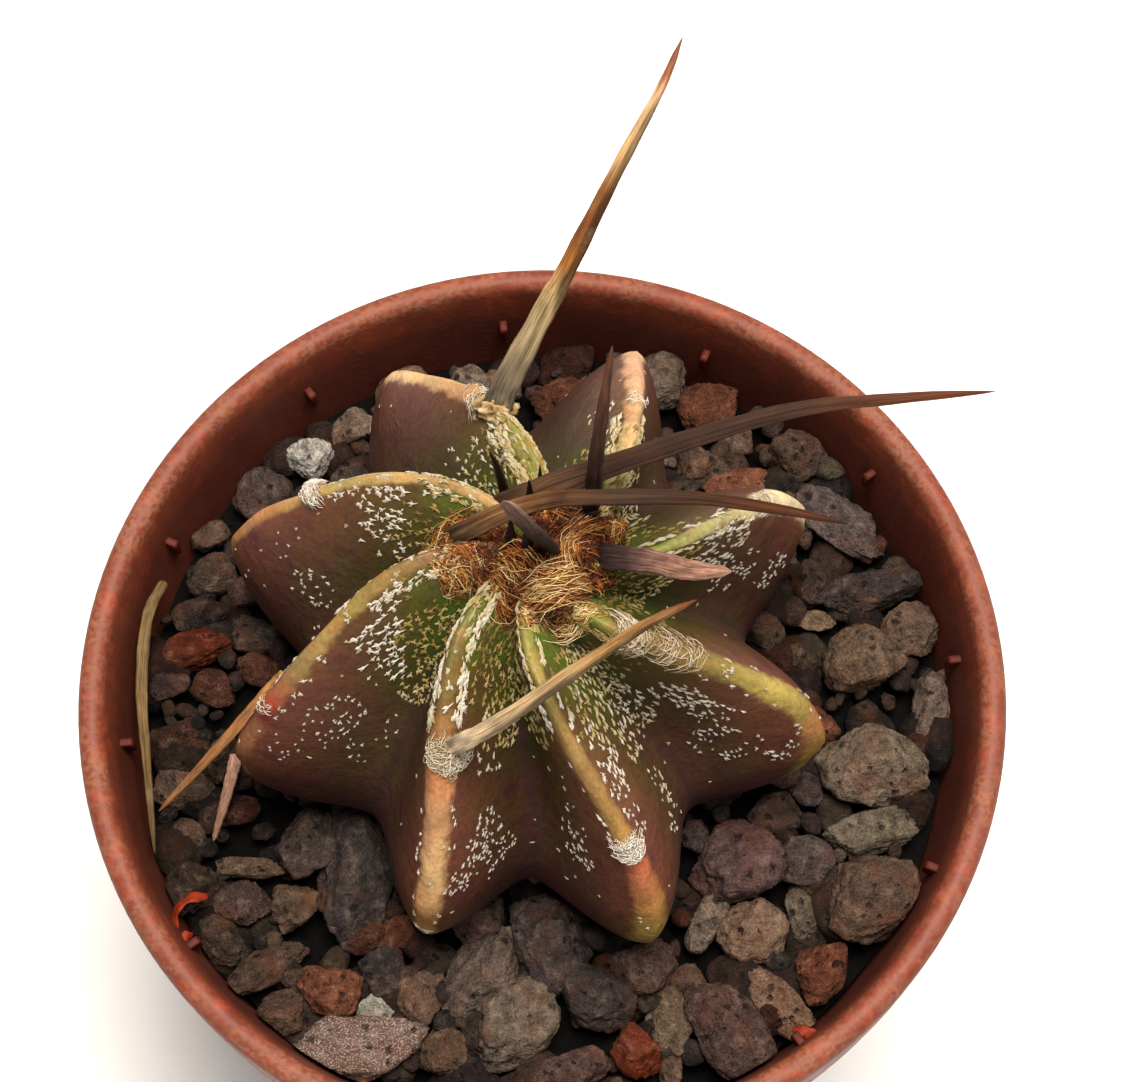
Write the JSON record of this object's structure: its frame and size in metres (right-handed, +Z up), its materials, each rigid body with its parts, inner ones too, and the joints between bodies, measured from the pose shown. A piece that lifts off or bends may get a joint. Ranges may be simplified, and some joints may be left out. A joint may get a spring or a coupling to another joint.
{
  "type": "potted goats horn cactus",
  "caption": "Ribbed globular cactus with long flat papery spines, growing in a round tapered plastic pot topped with lava gravel.",
  "frame": {"origin": "centre of the pot's underside, on its flat middle pad", "axes": "+Z up along the pot's axis; -Y towards the side that is nearest the viewer in the picture; +X to the right there"},
  "size_m": [0.06, 0.0616, 0.0771],
  "materials": {
    "pot_plastic": "matt, slightly chalky and scuffed terracotta-coloured polypropylene",
    "growing_mix": "dry mineral grit with peat, matt",
    "lava_gravel": "rough porous lava, grey-brown with rust and beige stones",
    "stem_skin": "waxy plant skin, maroon-brown over green, with white and cream flocks",
    "crown_wool": "matted golden-brown plant wool",
    "spine_dark": "dry papery spine, dark brown, faintly grooved lengthwise",
    "spine_weathered": "dry papery spine, weathered straw and grey",
    "spine_dropped": "dry papery spine, straw to orange-tan"
  },
  "bodies": {
    "root": {"pot": "pot_plastic", "growing_mix": "growing_mix", "gravel": "lava_gravel", "stem": "stem_skin", "crown_wool": "crown_wool", "spine_rear_rib": "spine_weathered", "spine_long_dark": "spine_dark", "spine_right_dark": "spine_dark", "spine_right_short": "spine_dark", "spine_rear_short": "spine_dark", "spine_upright": "spine_dark", "spine_front_tan": "spine_weathered", "fallen_spine_1": "spine_dropped", "fallen_spine_2": "spine_dropped", "fallen_spine_3": "spine_dropped"}
  },
  "joints": []
}
